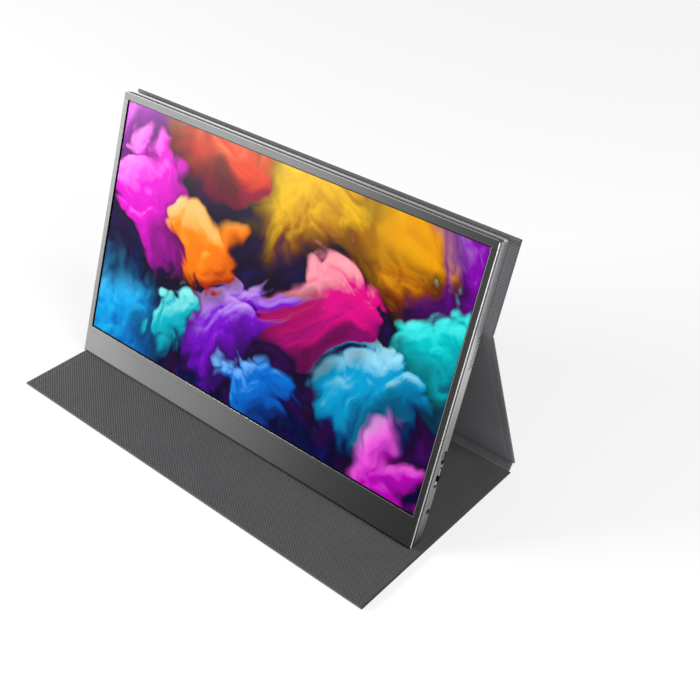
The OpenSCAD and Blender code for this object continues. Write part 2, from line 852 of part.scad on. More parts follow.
// Places its children where the front panel's magnets sit, under the monitor's foot
module at_bars() {
    for (i = [-1 : 1])
        translate([mon_x + i * bar_span / 2, foot_y + foot_flat * cos(tilt), -panel_t / 2 + skin_t])
            children();
}

module at_discs() {
    for (i = [0 : disc_n - 1], y = [disc_in, attach_len - disc_in])
        translate([mon_x + (i - (disc_n - 1) / 2) * disc_step, y, -panel_t / 2 + skin_t]) children();
}

module base_outer() {
    color(cloth) on_base() panel_outer(base_y0, base_y1);
}

module base_board() {
    color(board_grey) on_base() difference() {
        panel_board(base_y0, base_y1);
        at_bars() box([-bar_w / 2 - board_gap, -bar_b / 2 - board_gap, -past],
            [bar_w / 2 + board_gap, bar_b / 2 + board_gap, panel_t]);
    }
}

module base_lining() {
    color(lining) on_base() panel_lining(base_y0, base_y1);
}

module base_magnets() {
    color(steel) on_base() at_bars()
        box([-bar_w / 2, -bar_b / 2, 0], [bar_w / 2, bar_b / 2, panel_t - 2 * skin_t]);
}

// Soft strip between the two creases at the back of the stand
module spine_strip() {
    color(cloth) on_panel(spine_y, panel_t / 2, spine_rise) union() {
        crease_roll(0);
        crease_roll(spine_w);
        box([-cover_w / 2, 0, -panel_t / 2], [cover_w / 2, spine_w, panel_t / 2]);
    }
}

module strut_outer() {
    color(cloth) on_strut() union() {
        panel_outer(crease, strut_len - crease);
        box([-cover_w / 2, strut_len - crease - eps, -panel_t / 2], [cover_w / 2, strut_len, panel_t / 2]);
        crease_roll(strut_len);
    }
}

module strut_board() {
    color(board_grey) on_strut() panel_board(crease, strut_len - crease);
}

module strut_lining() {
    color(lining) on_strut() panel_lining(crease, strut_len - crease - eps);
}

module attach_outer() {
    color(cloth) on_attach() panel_outer(crease, attach_len);
}

module attach_board() {
    color(board_grey) on_attach() difference() {
        panel_board(crease, attach_len);
        at_discs() translate([0, 0, -past]) cylinder(r = disc_r + board_gap, h = panel_t + past);
    }
}

module attach_lining() {
    color(lining) on_attach() panel_lining(crease, attach_len);
}

module attach_magnets() {
    color(steel) on_attach() at_discs() cylinder(r = disc_r, h = panel_t - 2 * skin_t);
}

front_bezel();
chin_plate();
parting_gasket();
rear_shell();
lcd_tape();
lcd_cell();
optical_films();
light_guide();
led_strip();
reflector_sheet();
lcd_tray();
panel_driver_board();
panel_flex_tails();
display_cable();
board_insulator();
main_board();
board_chips();
chip_shield();
board_screws();
usb_c_port();
hdmi_port();
audio_jack();
status_light();
speaker_right();
speaker_left();
speaker_leads();
button_board();
button_lead();
keeper_plates();
foot_keeper();
power_button();
menu_rocker();
base_outer();
base_board();
base_lining();
base_magnets();
spine_strip();
strut_outer();
strut_board();
strut_lining();
attach_outer();
attach_board();
attach_lining();
attach_magnets();
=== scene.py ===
"""Looks of the portable monitor on its folio cover. All lengths are in metres, in the CAD's own frame."""

import math

import bmesh
import bpy
from mathutils import Matrix, Vector


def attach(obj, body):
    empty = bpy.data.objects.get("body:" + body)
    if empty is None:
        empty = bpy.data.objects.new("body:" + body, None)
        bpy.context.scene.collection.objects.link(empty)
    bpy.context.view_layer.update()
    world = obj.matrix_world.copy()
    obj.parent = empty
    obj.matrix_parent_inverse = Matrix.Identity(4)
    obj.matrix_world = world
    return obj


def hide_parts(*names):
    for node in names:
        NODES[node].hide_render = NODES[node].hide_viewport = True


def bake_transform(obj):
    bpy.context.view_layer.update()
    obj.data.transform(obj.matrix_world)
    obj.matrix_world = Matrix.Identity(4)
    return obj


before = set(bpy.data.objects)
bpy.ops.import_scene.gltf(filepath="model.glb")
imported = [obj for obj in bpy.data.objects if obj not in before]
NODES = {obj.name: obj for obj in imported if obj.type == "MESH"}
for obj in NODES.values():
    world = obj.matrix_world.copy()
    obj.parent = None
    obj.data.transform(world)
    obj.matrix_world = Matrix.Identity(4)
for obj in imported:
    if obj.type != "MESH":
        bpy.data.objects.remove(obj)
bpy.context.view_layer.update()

# Driving sizes, the same as in part.scad
TILT, SPINE_RISE = math.radians(19.4), math.radians(55)
PICTURE_W, PICTURE_H, MASK_W = 0.3442, 0.1936, 0.001
BEZEL_SIDE, BEZEL_TOP, CHIN_H, CASE_T = 0.0051, 0.0056, 0.0242, 0.013
STAND_REACH, BASE_REACH, SPINE_W = 0.1165, 0.0599, 0.0065
ATTACH_LEN, ATTACH_OVER = 0.0663, 0.0024
COVER_LEFT, COVER_RIGHT = 0.0008, 0.0068
HALF_T, SKIN = 0.0012, 0.0006
SEAT_GAP, CREASE_GAP, FOOT_FLAT = 0.0003, 0.0003, 0.004

CASE_W = PICTURE_W + 2 * (MASK_W + BEZEL_SIDE)
CASE_H = PICTURE_H + 2 * MASK_W + BEZEL_TOP + CHIN_H
COVER_W = CASE_W + COVER_LEFT + COVER_RIGHT
CREASE = HALF_T + CREASE_GAP

# The case's lower front middle, and the directions of the tilted case
FOOT_Y = (BASE_REACH - STAND_REACH - SPINE_W * math.cos(SPINE_RISE) - HALF_T) / 2
FOOT_Z = 2 * HALF_T + SEAT_GAP + FOOT_FLAT * math.sin(TILT)
CASE_ZERO = Vector(((COVER_LEFT - COVER_RIGHT) / 2, FOOT_Y, FOOT_Z))
ACROSS = (1.0, 0.0, 0.0)
UP = (0.0, math.sin(TILT), math.cos(TILT))
DEEP = (0.0, math.cos(TILT), -math.sin(TILT))

# The heel and the fold of the stand as y and z: the strut runs from one to the other. Its length is to the
# micrometre
HEEL = (FOOT_Y + STAND_REACH + SPINE_W * math.cos(SPINE_RISE), HALF_T + SPINE_W * math.sin(SPINE_RISE))
FOLD_UP, FOLD_DEEP = CASE_H + ATTACH_OVER - ATTACH_LEN, CASE_T + SEAT_GAP + HALF_T
FOLD = tuple(CASE_ZERO[i] + FOLD_UP * UP[i] + FOLD_DEEP * DEEP[i] for i in (1, 2))
STRUT_LEN = round(math.dist(HEEL, FOLD), 6)

# Each panel's place: its own zero in Y and Z, and its slope
BASE = (0.0, HALF_T, 0.0)
SPINE = (FOOT_Y + STAND_REACH, HALF_T, SPINE_RISE)
STRUT = (*HEEL, math.atan2(FOLD[1] - HEEL[1], FOLD[0] - HEEL[0]))
ATTACH = (*FOLD, math.pi / 2 - TILT)
BASE_Y0, BASE_Y1 = FOOT_Y - BASE_REACH, FOOT_Y + STAND_REACH - CREASE


# Shader helpers


class Tree:
    """A small way to write node trees. Sockets and plain values are both taken as inputs."""

    def __init__(self, name):
        self.material = bpy.data.materials.new(name)
        self.material.use_nodes = True
        self.nodes = self.material.node_tree.nodes
        self.links = self.material.node_tree.links
        self.nodes.clear()

    def put(self, socket, value):
        if isinstance(value, bpy.types.NodeSocket):
            self.links.new(value, socket)
        elif value is not None:
            socket.default_value = value

    def node(self, kind, inputs=(), **settings):
        made = self.nodes.new(kind)
        for key, value in settings.items():
            setattr(made, key, value)
        for key, value in dict(inputs).items():
            self.put(made.inputs[key], value)
        return made

    def math(self, operation, a, b=None, c=None):
        made = self.node("ShaderNodeMath", operation=operation)
        for socket, value in zip(made.inputs, (a, b, c)):
            self.put(socket, value)
        return made.outputs[0]

    def times(self, first, *others):
        for other in others:
            first = self.math("MULTIPLY", first, other)
        return first

    def largest(self, first, *others):
        for other in others:
            first = self.math("MAXIMUM", first, other)
        return first

    def absolute(self, value):
        return self.math("ABSOLUTE", value)

    def apart(self, a, b):
        """Distance between two numbers."""
        return self.absolute(self.math("SUBTRACT", a, b))

    def over(self, value, limit):
        return self.math("GREATER_THAN", value, limit)

    def under(self, value, limit):
        return self.math("LESS_THAN", value, limit)

    def only(self, share, factor):
        """The factor where share is 1, and 1 where share is 0."""
        return self.math("SUBTRACT", 1.0, self.times(share, self.math("SUBTRACT", 1.0, factor)))

    def vector(self, operation, a, b=None, scale=None):
        made = self.node("ShaderNodeVectorMath", operation=operation)
        self.put(made.inputs[0], a)
        self.put(made.inputs[1], b)
        if scale is not None:
            self.put(made.inputs["Scale"], scale)
        return made.outputs["Value" if operation in ("DOT_PRODUCT", "LENGTH", "DISTANCE") else "Vector"]

    def combine(self, x, y, z=0.0):
        return self.node("ShaderNodeCombineXYZ", {"X": x, "Y": y, "Z": z}).outputs[0]

    def noise(self, at, scale, detail=2.0, roughness=0.5, output="Fac"):
        inputs = {"Vector": at, "Scale": scale, "Detail": detail, "Roughness": roughness}
        return self.node("ShaderNodeTexNoise", inputs).outputs[output]

    def fade(self, value, low, high, to_low=0.0, to_high=1.0, smooth=True):
        inputs = {"Value": value, "From Min": low, "From Max": high, "To Min": to_low, "To Max": to_high}
        kind = "SMOOTHSTEP" if smooth else "LINEAR"
        return self.node("ShaderNodeMapRange", inputs, interpolation_type=kind).outputs["Result"]

    def mix(self, share, a, b):
        made = self.node("ShaderNodeMix", data_type="RGBA")
        self.put(made.inputs["Factor"], share)
        self.put(made.inputs["A"], rgba(a) if isinstance(a, tuple) else a)
        self.put(made.inputs["B"], rgba(b) if isinstance(b, tuple) else b)
        return made.outputs["Result"]

    def place(self):
        return self.node("ShaderNodeTexCoord").outputs["Object"]

    def facing(self, direction):
        """How far the surface faces a direction of the frame, from -1 to 1."""
        normal = self.node("ShaderNodeTexCoord").outputs["Normal"]
        return self.vector("DOT_PRODUCT", normal, tuple(direction))

    def bump(self, height, strength, distance):
        inputs = {"Height": height, "Strength": strength, "Distance": distance}
        return self.node("ShaderNodeBump", inputs).outputs["Normal"]

    def finish(self, colour, **inputs):
        shader = self.node("ShaderNodeBsdfPrincipled")
        self.put(shader.inputs["Base Color"], rgba(colour) if isinstance(colour, tuple) else colour)
        for key, value in inputs.items():
            self.put(shader.inputs[key.replace("_", " ")], value)
        out = self.node("ShaderNodeOutputMaterial")
        self.links.new(shader.outputs[0], out.inputs["Surface"])
        return self.material


def rgba(colour):
    return (*colour[:3], 1.0)


def grey(level, tint=(1.0, 1.0, 1.0)):
    """A linear colour from an sRGB level of 0 to 255."""
    share = level / 255
    linear = share / 12.92 if share <= 0.04045 else ((share + 0.055) / 1.055) ** 2.4
    return tuple(linear * t for t in tint)


def along(tree, place, direction):
    """Distance of a point along a direction of the frame."""
    return tree.vector("DOT_PRODUCT", place, tuple(direction))


# Metal of the case

# Places on the case, counted from its own lower front middle
OPENING_HALF, OPENING_LOW, OPENING_HIGH = CASE_W / 2 - BEZEL_SIDE, CHIN_H, CASE_H - BEZEL_TOP
CASE_RIGHT = CASE_W / 2
SCREEN_FACE = 0.0013
# The front frame's foot, with its painted shadow, and back edge, and the width and depth of the painted
# highlight on the lip round its opening
FOOT_EDGE, FRAME_BACK = (0.0010, 0.0018), (0.00098, 0.00106)
LIP_WIDTH, LIP_DEEP = (0.00030, 0.00024), (0.00052, 0.00044)
# Depths from which and to which the shell's painted light and shade fade: its seam, the painted highlight
# band behind the seam, the painted shade on the front of the top wall and on the rounded rear edge of the
# side walls and of the top wall
SEAM, BAND, TOP_FRONT = (0.0027, 0.0030), (0.0040, 0.0052), (0.0056, 0.0068)
SIDE_REAR, TOP_REAR = (0.0105, 0.0130), (0.0115, 0.0130)
PORT_DEEP = 0.0094
USB_UP, LIGHT_UP, KEYED_UP = 0.0703, 0.0640, 0.0550
# Height, half of the straight length and end radius of each black surround on the right wall, painted shade
SURROUNDS = ((USB_UP, 0.00287, 0.0024), (KEYED_UP, 0.0052, 0.0029), (LIGHT_UP, 0.0, 0.0010))
# The two staggered rows of speaker holes: middle height, holes in a row, pitch, painted dark rim, and depths
SPEAKER_UP, SPEAKER_HOLES, SPEAKER_PITCH, SPEAKER_RIM = 0.1486, 12, 0.002, (0.00076, 0.00062)
SPEAKER_ROWS = (PORT_DEEP - 0.0012, PORT_DEEP + 0.0008)


def case_place(tree):
    """Across, up and deep from the case's own lower front middle."""
    from_zero = tree.vector("SUBTRACT", tree.place(), CASE_ZERO)
    return [along(tree, from_zero, direction) for direction in (ACROSS, UP, DEEP)]


def front_painted_light(tree, width, up, deep):
    """Painted light and shade of the front frame and the chin, as in the photograph's light."""
    # Painted light: the chin lighter on the left and darker to the right, the top bar brighter, most of all
    # on the right, the sides darker low and lighter high, and the left bar brighter
    chin = tree.times(tree.fade(width, -0.17, -0.09, 1.15, 0.90), tree.fade(width, -0.05, 0.17, 1.0, 0.92))
    upper = tree.fade(width, -0.14, 0.08, 1.19, 1.34)
    sides = tree.times(tree.fade(up, 0.02, 0.2, 0.8, 1.1),
                       tree.fade(width, -OPENING_HALF, -OPENING_HALF + 0.001, 1.3, 1.0))
    light = tree.mix(tree.under(up, OPENING_LOW), sides, chin)
    light = tree.mix(tree.over(up, OPENING_HIGH), light, upper)
    # Painted shade on the frame's top wall, which faces up
    top_wall_shade = tree.fade(tree.facing(UP), 0.8, 0.9, 1.0, 0.12)
    back_edge = tree.fade(deep, *FRAME_BACK, 1.0, 0.15)
    # Painted shadow along the frame's foot, where it meets the cloth
    foot = tree.fade(up, *FOOT_EDGE, 0.2, 1.0)
    return tree.times(top_wall_shade, light, back_edge, foot)


def front_cuts_and_highlights(tree, width, up, deep, cut):
    """Cut chamfers of the front frame with painted highlights: the chamfers' brightness by the way they face,
    its outer wall, and a lip below and right of the opening.
    """
    to_side = tree.absolute(tree.facing(ACROSS))
    # Painted light: chamfers that face the sides or up are dimmed
    side_cut = tree.fade(to_side, 0.2, 0.5, 1.0, 0.22)
    top_cut = tree.fade(tree.facing(UP), 0.2, 0.5, 1.0, 0.45)
    # Painted highlight on the frame's outer side walls
    outer = tree.times(tree.over(to_side, 0.7), tree.over(tree.absolute(width), OPENING_HALF + 0.002))
    beside = tree.math("SUBTRACT", width, OPENING_HALF)
    below = tree.math("SUBTRACT", OPENING_LOW, up)
    within = tree.times(tree.under(up, OPENING_HIGH), tree.over(width, -OPENING_HALF))
    # Painted highlight on the lip below and right of the opening, dimmer to the left
    lip = tree.times(tree.fade(tree.largest(beside, below), *LIP_WIDTH), tree.fade(deep, *LIP_DEEP), within,
                     tree.fade(width, -0.12, 0.10, 0.12, 1.0))
    return tree.largest(tree.times(cut, side_cut, top_cut), lip, tree.times(outer, 0.75))


def opening_shade(tree, width, up, deep, wall):
    """Painted shade: black surrounds of the sockets and status light, and dark rims of the speaker holes."""
    from_middle = tree.math("SUBTRACT", deep, PORT_DEEP)
    holes = []
    for height, half, radius in SURROUNDS:
        rise = tree.math("SUBTRACT", tree.apart(up, height), half)
        away = tree.vector("LENGTH", tree.combine(from_middle, tree.largest(rise, 0.0)))
        holes.append(tree.fade(away, radius, radius - 0.0001))
    dark = tree.times(tree.largest(*holes), tree.over(width, CASE_RIGHT - 0.0082))
    reach = SPEAKER_RIM[0] + 0.00004
    for row, row_deep in enumerate(SPEAKER_ROWS):
        first = SPEAKER_UP + (row - SPEAKER_HOLES) * SPEAKER_PITCH / 2
        last = first + (SPEAKER_HOLES - 1) * SPEAKER_PITCH
        near = tree.math("WRAP", tree.math("SUBTRACT", up, first), SPEAKER_PITCH / 2, -SPEAKER_PITCH / 2)
        away = tree.vector("LENGTH", tree.combine(tree.math("SUBTRACT", deep, row_deep), near))
        within = tree.times(tree.over(up, first - reach), tree.under(up, last + reach))
        dark = tree.largest(dark, tree.times(tree.fade(away, *SPEAKER_RIM), within, wall))
    return dark


def shell_painted_light(tree, width, up, deep):
    """Painted light and shade of the rear shell's walls, and painted shade round its sockets and holes."""
    wall = tree.fade(tree.absolute(tree.facing(ACROSS)), 0.4, 0.7)
    # Painted shade towards the table and the rounded rear edge, and a painted highlight on the right above
    # the middle
    low = tree.fade(up, -0.01, 0.06, 0.42, 0.80)
    rear = tree.fade(deep, *SIDE_REAR, 1.0, 0.55)
    above = tree.times(tree.fade(up, 0.075, 0.155, 0.0, 1.5), tree.over(width, 0.0))
    # A dark seam behind the front frame, with a painted highlight band behind it
    seam = tree.fade(deep, *SEAM, 0.10, 1.0)
    band = tree.fade(deep, *BAND, 1.25, 1.0)
    walls = tree.only(wall, tree.times(low, rear, tree.math("ADD", above, 1.0), seam, band))
    # The top wall has painted shade in front and at its rounded rear edge, and a painted highlight between,
    # most of all on the left
    bright = tree.times(tree.fade(width, -0.08, 0.16, 3.6, 1.6), tree.fade(deep, *TOP_REAR, 1.0, 0.5),
                        tree.fade(deep, *TOP_FRONT, 0.08, 1.0))
    top = tree.only(tree.fade(tree.facing(UP), 0.4, 0.7), bright)
    return tree.times(walls, top, tree.only(opening_shade(tree, width, up, deep, wall), 0.07))


def case_metal(name, face, chamfer, roughness, is_front):
    """Anodised metal with fine lines across the case and brighter cut chamfers, with painted light and shade
    laid over it.
    """
    tree = Tree(name)
    width, up, deep = case_place(tree)
    drawn_out = tree.vector("MULTIPLY", tree.combine(width, up, deep), (60.0, 5200.0, 5200.0))
    lines = tree.noise(drawn_out, 1.0, 3.0, 0.6)
    clouds = tree.noise(tree.place(), 35.0, 3.0)
    tone = tree.math("ADD", tree.times(lines, 0.16), tree.times(clouds, 0.1))
    shade = tree.fade(tone, 0.0, 0.26, 0.88, 1.12, smooth=False)
    slant = tree.absolute(tree.facing(DEEP))
    # Cut chamfers are lighter metal; those facing down are left dark, a painted shade
    cut = tree.times(tree.fade(slant, 0.25, 0.4), tree.fade(slant, 0.92, 0.8),
                     tree.fade(tree.facing(UP), -0.5, -0.2))
    if is_front:
        shade = tree.times(shade, front_painted_light(tree, width, up, deep))
        cut = front_cuts_and_highlights(tree, width, up, deep, cut)
    else:
        shade = tree.times(shade, shell_painted_light(tree, width, up, deep))
    colour = tree.vector("SCALE", tree.mix(cut, face, chamfer), scale=shade)
    rough = tree.math("SUBTRACT", tree.fade(lines, 0.2, 0.8, roughness - 0.03, roughness + 0.03),
                      tree.times(cut, 0.12))
    upright = tree.node("ShaderNodeVectorTransform", {"Vector": UP}, vector_type="VECTOR",
                        convert_from="OBJECT", convert_to="WORLD").outputs[0]
    return tree.finish(colour, Metallic=1.0, Roughness=rough, Anisotropic=0.95 if is_front else 0.3,
                       Tangent=upright, Normal=tree.bump(lines, 0.12, 0.00004))


def port_metal():
    """Sheet metal of the two sockets: a dark round-ended one and a bright keyed one below it. Their black
    is painted shade, and their grey and near-white are painted highlights.
    """
    tree = Tree("port_metal")
    width, up, deep = case_place(tree)
    grain = tree.noise(tree.place(), 3000.0, 2.0)
    faces_front = tree.under(tree.facing(DEEP), -0.5)
    faces_up = tree.over(tree.facing(UP), 0.5)
    # Painted shade: the sockets' inner walls are black where no highlight is painted
    black = (0.010, 0.010, 0.011)
    # Painted highlight: grey on the middle of the round-ended socket's rear inner wall
    middle = tree.fade(tree.apart(up, USB_UP), 0.0030, 0.0026)
    round_ended = tree.mix(tree.times(faces_front, middle), black, (0.42, 0.42, 0.43))
    tongue = tree.fade(tree.apart(deep, PORT_DEEP), 0.0008, 0.0006)
    inside = tree.fade(width, CASE_RIGHT - 0.0055, CASE_RIGHT - 0.0012)
    gap = tree.fade(tree.apart(up, KEYED_UP - 0.0018), 0.0021, 0.0027)
    # Painted highlights on the keyed socket's inner walls that face front or up
    lit = tree.largest(tree.times(faces_front, gap), faces_up)
    shown = tree.times(tree.math("SUBTRACT", 1.0, tongue), inside, lit)
    keyed = tree.mix(shown, black, (0.98, 0.98, 0.99))
    colour = tree.mix(tree.under(up, LIGHT_UP - 0.0005), round_ended, keyed)
    colour = tree.vector("SCALE", colour, scale=tree.fade(grain, 0.3, 0.7, 0.94, 1.0))
    return tree.finish(colour, Metallic=0.45, Roughness=tree.fade(grain, 0.3, 0.7, 0.18, 0.26),
                       Normal=tree.bump(grain, 0.1, 0.00003))


# The picture on the screen: clouds of ink laid one over another, made from warped noise

# Where the light on the picture's clouds comes from
LIGHT_FROM = Vector((-0.55, 0.83, 0.0))
# Middle x and y as shares of the width, radius, softness of the edge, and colours in shade, body and light
CLOUDS = [
    ((0.47, 0.24), 0.20, 0.10, (0.06, 0.004, 0.12), (0.24, 0.03, 0.42), (0.58, 0.24, 0.80)),
    ((-0.44, -0.26), 0.19, 0.10, (0.004, 0.02, 0.14), (0.01, 0.16, 0.50), (0.10, 0.50, 0.90)),
    ((0.24, 0.27), 0.17, 0.09, (0.30, 0.06, 0.00), (0.86, 0.36, 0.00), (1.00, 0.74, 0.04)),
    ((0.02, 0.30), 0.19, 0.09, (0.42, 0.13, 0.00), (0.95, 0.55, 0.00), (1.00, 0.84, 0.10)),
    ((-0.20, 0.26), 0.12, 0.04, (0.28, 0.01, 0.05), (0.80, 0.12, 0.08), (1.00, 0.45, 0.20)),
    ((-0.46, 0.22), 0.17, 0.05, (0.12, 0.00, 0.20), (0.42, 0.02, 0.52), (0.86, 0.22, 0.90)),
    ((-0.34, 0.09), 0.13, 0.02, (0.24, 0.00, 0.22), (0.78, 0.01, 0.62), (1.00, 0.26, 0.88)),
    ((0.46, 0.04), 0.13, 0.03, (0.00, 0.07, 0.14), (0.00, 0.38, 0.44), (0.12, 0.86, 0.84)),
    ((0.34, -0.12), 0.11, 0.02, (0.00, 0.05, 0.20), (0.03, 0.34, 0.62), (0.40, 0.80, 0.98)),
    ((0.15, 0.02), 0.12, 0.02, (0.22, 0.00, 0.12), (0.74, 0.04, 0.26), (1.00, 0.40, 0.46)),
    ((-0.06, -0.10), 0.14, 0.02, (0.06, 0.01, 0.22), (0.24, 0.06, 0.62), (0.62, 0.38, 0.92)),
    ((-0.18, 0.06), 0.09, 0.02, (0.34, 0.03, 0.01), (0.96, 0.20, 0.02), (1.00, 0.58, 0.22)),
    ((0.10, -0.23), 0.10, 0.03, (0.00, 0.02, 0.16), (0.01, 0.13, 0.56), (0.22, 0.48, 0.96)),
    ((-0.25, -0.16), 0.09, 0.02, (0.00, 0.06, 0.14), (0.01, 0.42, 0.52), (0.30, 0.86, 0.86)),
    ((0.44, -0.26), 0.10, 0.06, (0.08, 0.00, 0.12), (0.40, 0.01, 0.40), (0.84, 0.16, 0.74)),
]


def lumps(tree, at):
    """Height of round lumps on lumps, parted by soft creases."""
    large = tree.apart(tree.noise(at, 6.5, 1.0), 0.5)
    small = tree.apart(tree.noise(at, 15.0, 1.5), 0.5)
    fine = tree.noise(at, 34.0, 3.0)
    height = tree.math("MULTIPLY_ADD", small, 0.9, tree.times(large, 2.2))
    return tree.math("MULTIPLY_ADD", fine, 0.10, height)


def warped(tree, across, height):
    """Places on the picture in shares of its width, pushed about by slow and quick noise."""
    flat = tree.vector("SCALE", tree.combine(across, height), scale=1 / PICTURE_W)
    slow = tree.vector("SUBTRACT", tree.noise(flat, 2.1, 1.0, output="Color"), (0.5, 0.5, 0.5))
    quick = tree.vector("SUBTRACT", tree.noise(flat, 7.0, 2.0, output="Color"), (0.5, 0.5, 0.5))
    at = tree.vector("ADD", flat, tree.vector("SCALE", slow, scale=0.40))
    at = tree.vector("ADD", at, tree.vector("SCALE", quick, scale=0.10))
    return tree.vector("MULTIPLY", at, (1.0, 1.0, 0.0))


def ink_picture(tree, across, height):
    """Clouds of ink over a dark ground, each lit from its upper left."""
    at = warped(tree, across, height)
    here = lumps(tree, at)
    toward = tree.vector("ADD", at, tuple(LIGHT_FROM * 0.012))
    slope = tree.math("SUBTRACT", here, lumps(tree, toward))
    smoke = tree.noise(at, 3.1, 6.0, 0.6)
    threads = tree.noise(tree.vector("MULTIPLY", at, (3.0, 1.0, 1.0)), 9.0, 5.0, 0.6)
    strands = tree.math("SINE", tree.math("MULTIPLY_ADD", here, 44.0, tree.times(smoke, 20.0)))

    colour = tree.mix(tree.fade(height, -0.10, 0.10), (0.002, 0.006, 0.055), (0.045, 0.006, 0.10))
    colour = tree.mix(tree.fade(smoke, 0.45, 0.62), colour, (0.06, 0.004, 0.13))
    colour = tree.mix(tree.times(tree.fade(threads, 0.5, 0.7), 0.5), colour, (0.01, 0.05, 0.26))
    for middle, radius, soft, dark, body, light in CLOUDS:
        out = tree.vector("SUBTRACT", at, (*middle, 0.0))
        inside = tree.math("SUBTRACT", radius * 1.22 - 0.05, tree.vector("LENGTH", out))
        inside = tree.math("MULTIPLY_ADD", here, 0.16, inside)
        lit = tree.times(tree.vector("DOT_PRODUCT", out, tuple(LIGHT_FROM)), 1.15 / radius)
        lit = tree.math("MULTIPLY_ADD", slope, 2.3, lit)
        lit = tree.math("MULTIPLY_ADD", strands, 0.05, lit)
        lit = tree.math("MULTIPLY_ADD", tree.fade(inside, 0.0, 0.05), 0.35, lit)
        tone = tree.mix(tree.fade(lit, -0.75, 0.35), dark, body)
        tone = tree.mix(tree.fade(lit, 0.25, 1.35), tone, light)
        tone = tree.mix(tree.times(tree.fade(lit, 1.2, 2.2), 0.3), tone, (1.0, 0.92, 0.97))
        shadow = tree.fade(inside, -0.07, 0.01, 1.0, 0.45)
        colour = tree.vector("SCALE", colour, scale=shadow)
        colour = tree.mix(tree.fade(inside, 0.0, soft + 0.004), colour, tone)
    return colour


def screen_glass():
    """The screen's surface: the lit picture inside a black border."""
    tree = Tree("screen_glass")
    across, height, depth = case_place(tree)
    height = tree.math("SUBTRACT", height, CHIN_H + MASK_W + PICTURE_H / 2)
    picture = tree.node("ShaderNodeHueSaturation", {"Color": ink_picture(tree, across, height),
                                                    "Saturation": 1.10, "Value": 0.93}).outputs[0]
    lit_area = tree.times(tree.under(tree.absolute(across), PICTURE_W / 2),
                          tree.under(tree.absolute(height), PICTURE_H / 2), tree.under(depth, SCREEN_FACE))
    colour = tree.mix(lit_area, (0.004, 0.004, 0.005), picture)
    return tree.finish(tree.vector("SCALE", colour, scale=0.42), Roughness=0.25, Specular_IOR_Level=0.03,
                       Emission_Color=colour, Emission_Strength=0.2)


# Cloth of the cover

RIB_PITCH, STITCH_PITCH = 0.0018, 0.0011


def twill(tree, place, x, s, ribs):
    """Yarn height of a twill whose ribs run along the direction ribs = (x, s)."""
    rib_x, rib_s = (part / math.hypot(*ribs) for part in ribs)
    lengthwise = tree.math("ADD", tree.times(x, rib_x), tree.times(s, rib_s))
    crosswise = tree.math("SUBTRACT", tree.times(x, rib_s), tree.times(s, rib_x))
    phase = tree.math("ADD", tree.times(crosswise, 2 * math.pi / RIB_PITCH),
                      tree.times(tree.noise(place, 90.0, 2.0), 1.4))
    stitch_phase = tree.math("ADD", tree.times(lengthwise, 2 * math.pi / STITCH_PITCH),
                             tree.times(phase, 0.5))
    rib = tree.fade(tree.math("SINE", phase), -0.8, 0.9)
    stitch = tree.fade(tree.math("SINE", stitch_phase), -1.0, 1.0, 0.0, 0.12)
    return tree.math("ADD", tree.times(rib, 0.88), stitch)


def cover_cloth(name, place_of, ribs, level, tint, smooth=0.0, weave_fade=None, light=None):
    """Cloth of one panel. weave_fade fades the weave where less light falls, and light paints light and shade
    on the colour along the panel, as fade's values do.
    """
    tree = Tree(name)
    place = tree.place()
    zero_y, zero_z, slope = place_of
    run = (0.0, math.cos(slope), math.sin(slope))
    x = along(tree, place, ACROSS)
    s = tree.math("SUBTRACT", along(tree, place, run), zero_y * run[1] + zero_z * run[2])
    yarn = twill(tree, place, x, s, ribs)
    fluff = tree.noise(place, 2600.0, 3.0, 0.65)
    blotch = tree.noise(place, 22.0, 4.0, 0.6)
    # The weave fades along the panel where less light falls
    weave = tree.fade(s, *weave_fade) if weave_fade else 1.0 - smooth
    tone = tree.fade(tree.math("ADD", tree.times(yarn, 0.62, weave), tree.times(fluff, 0.38)),
                     0.1, 0.85, 0.80, 1.18, smooth=False)
    # Painted shade along the cloth's side rims
    edge = tree.fade(tree.absolute(x), COVER_W / 2 - 0.0011, COVER_W / 2 - 0.0005, 1.0, 0.45)
    tone = tree.times(tone, edge, tree.fade(blotch, 0.3, 0.7, 0.93, 1.07))
    # Painted light and shade along the panel
    if light:
        tone = tree.times(tone, tree.fade(s, *light))
    colour = tree.vector("SCALE", grey(level, tint), scale=tone)
    height = tree.math("ADD", tree.times(yarn, weave), tree.times(fluff, 0.3))
    return tree.finish(colour, Roughness=tree.fade(fluff, 0.2, 0.8, 0.78, 0.92), Specular_IOR_Level=0.25,
                       Sheen_Weight=0.12, Sheen_Roughness=0.5, Normal=tree.bump(height, 0.8, 0.00022))


# Plain finishes of the smaller and inner parts


def speckled(name, colour, other, scale, bump=0.0, roughness=0.5, **finish):
    """A finish whose colour wanders between two tones, with a fine grain."""
    tree = Tree(name)
    place = tree.place()
    cloud = tree.noise(place, scale, 4.0, 0.6)
    grain = tree.noise(place, scale * 30, 2.0)
    share = tree.fade(tree.math("ADD", tree.times(cloud, 0.6), tree.times(grain, 0.4)), 0.35, 0.65)
    finish["Roughness"] = tree.fade(grain, 0.3, 0.7, roughness - 0.05, roughness + 0.05)
    if bump:
        finish["Normal"] = tree.bump(grain, bump, 0.00005)
    return tree.finish(tree.mix(share, colour, other), **finish)


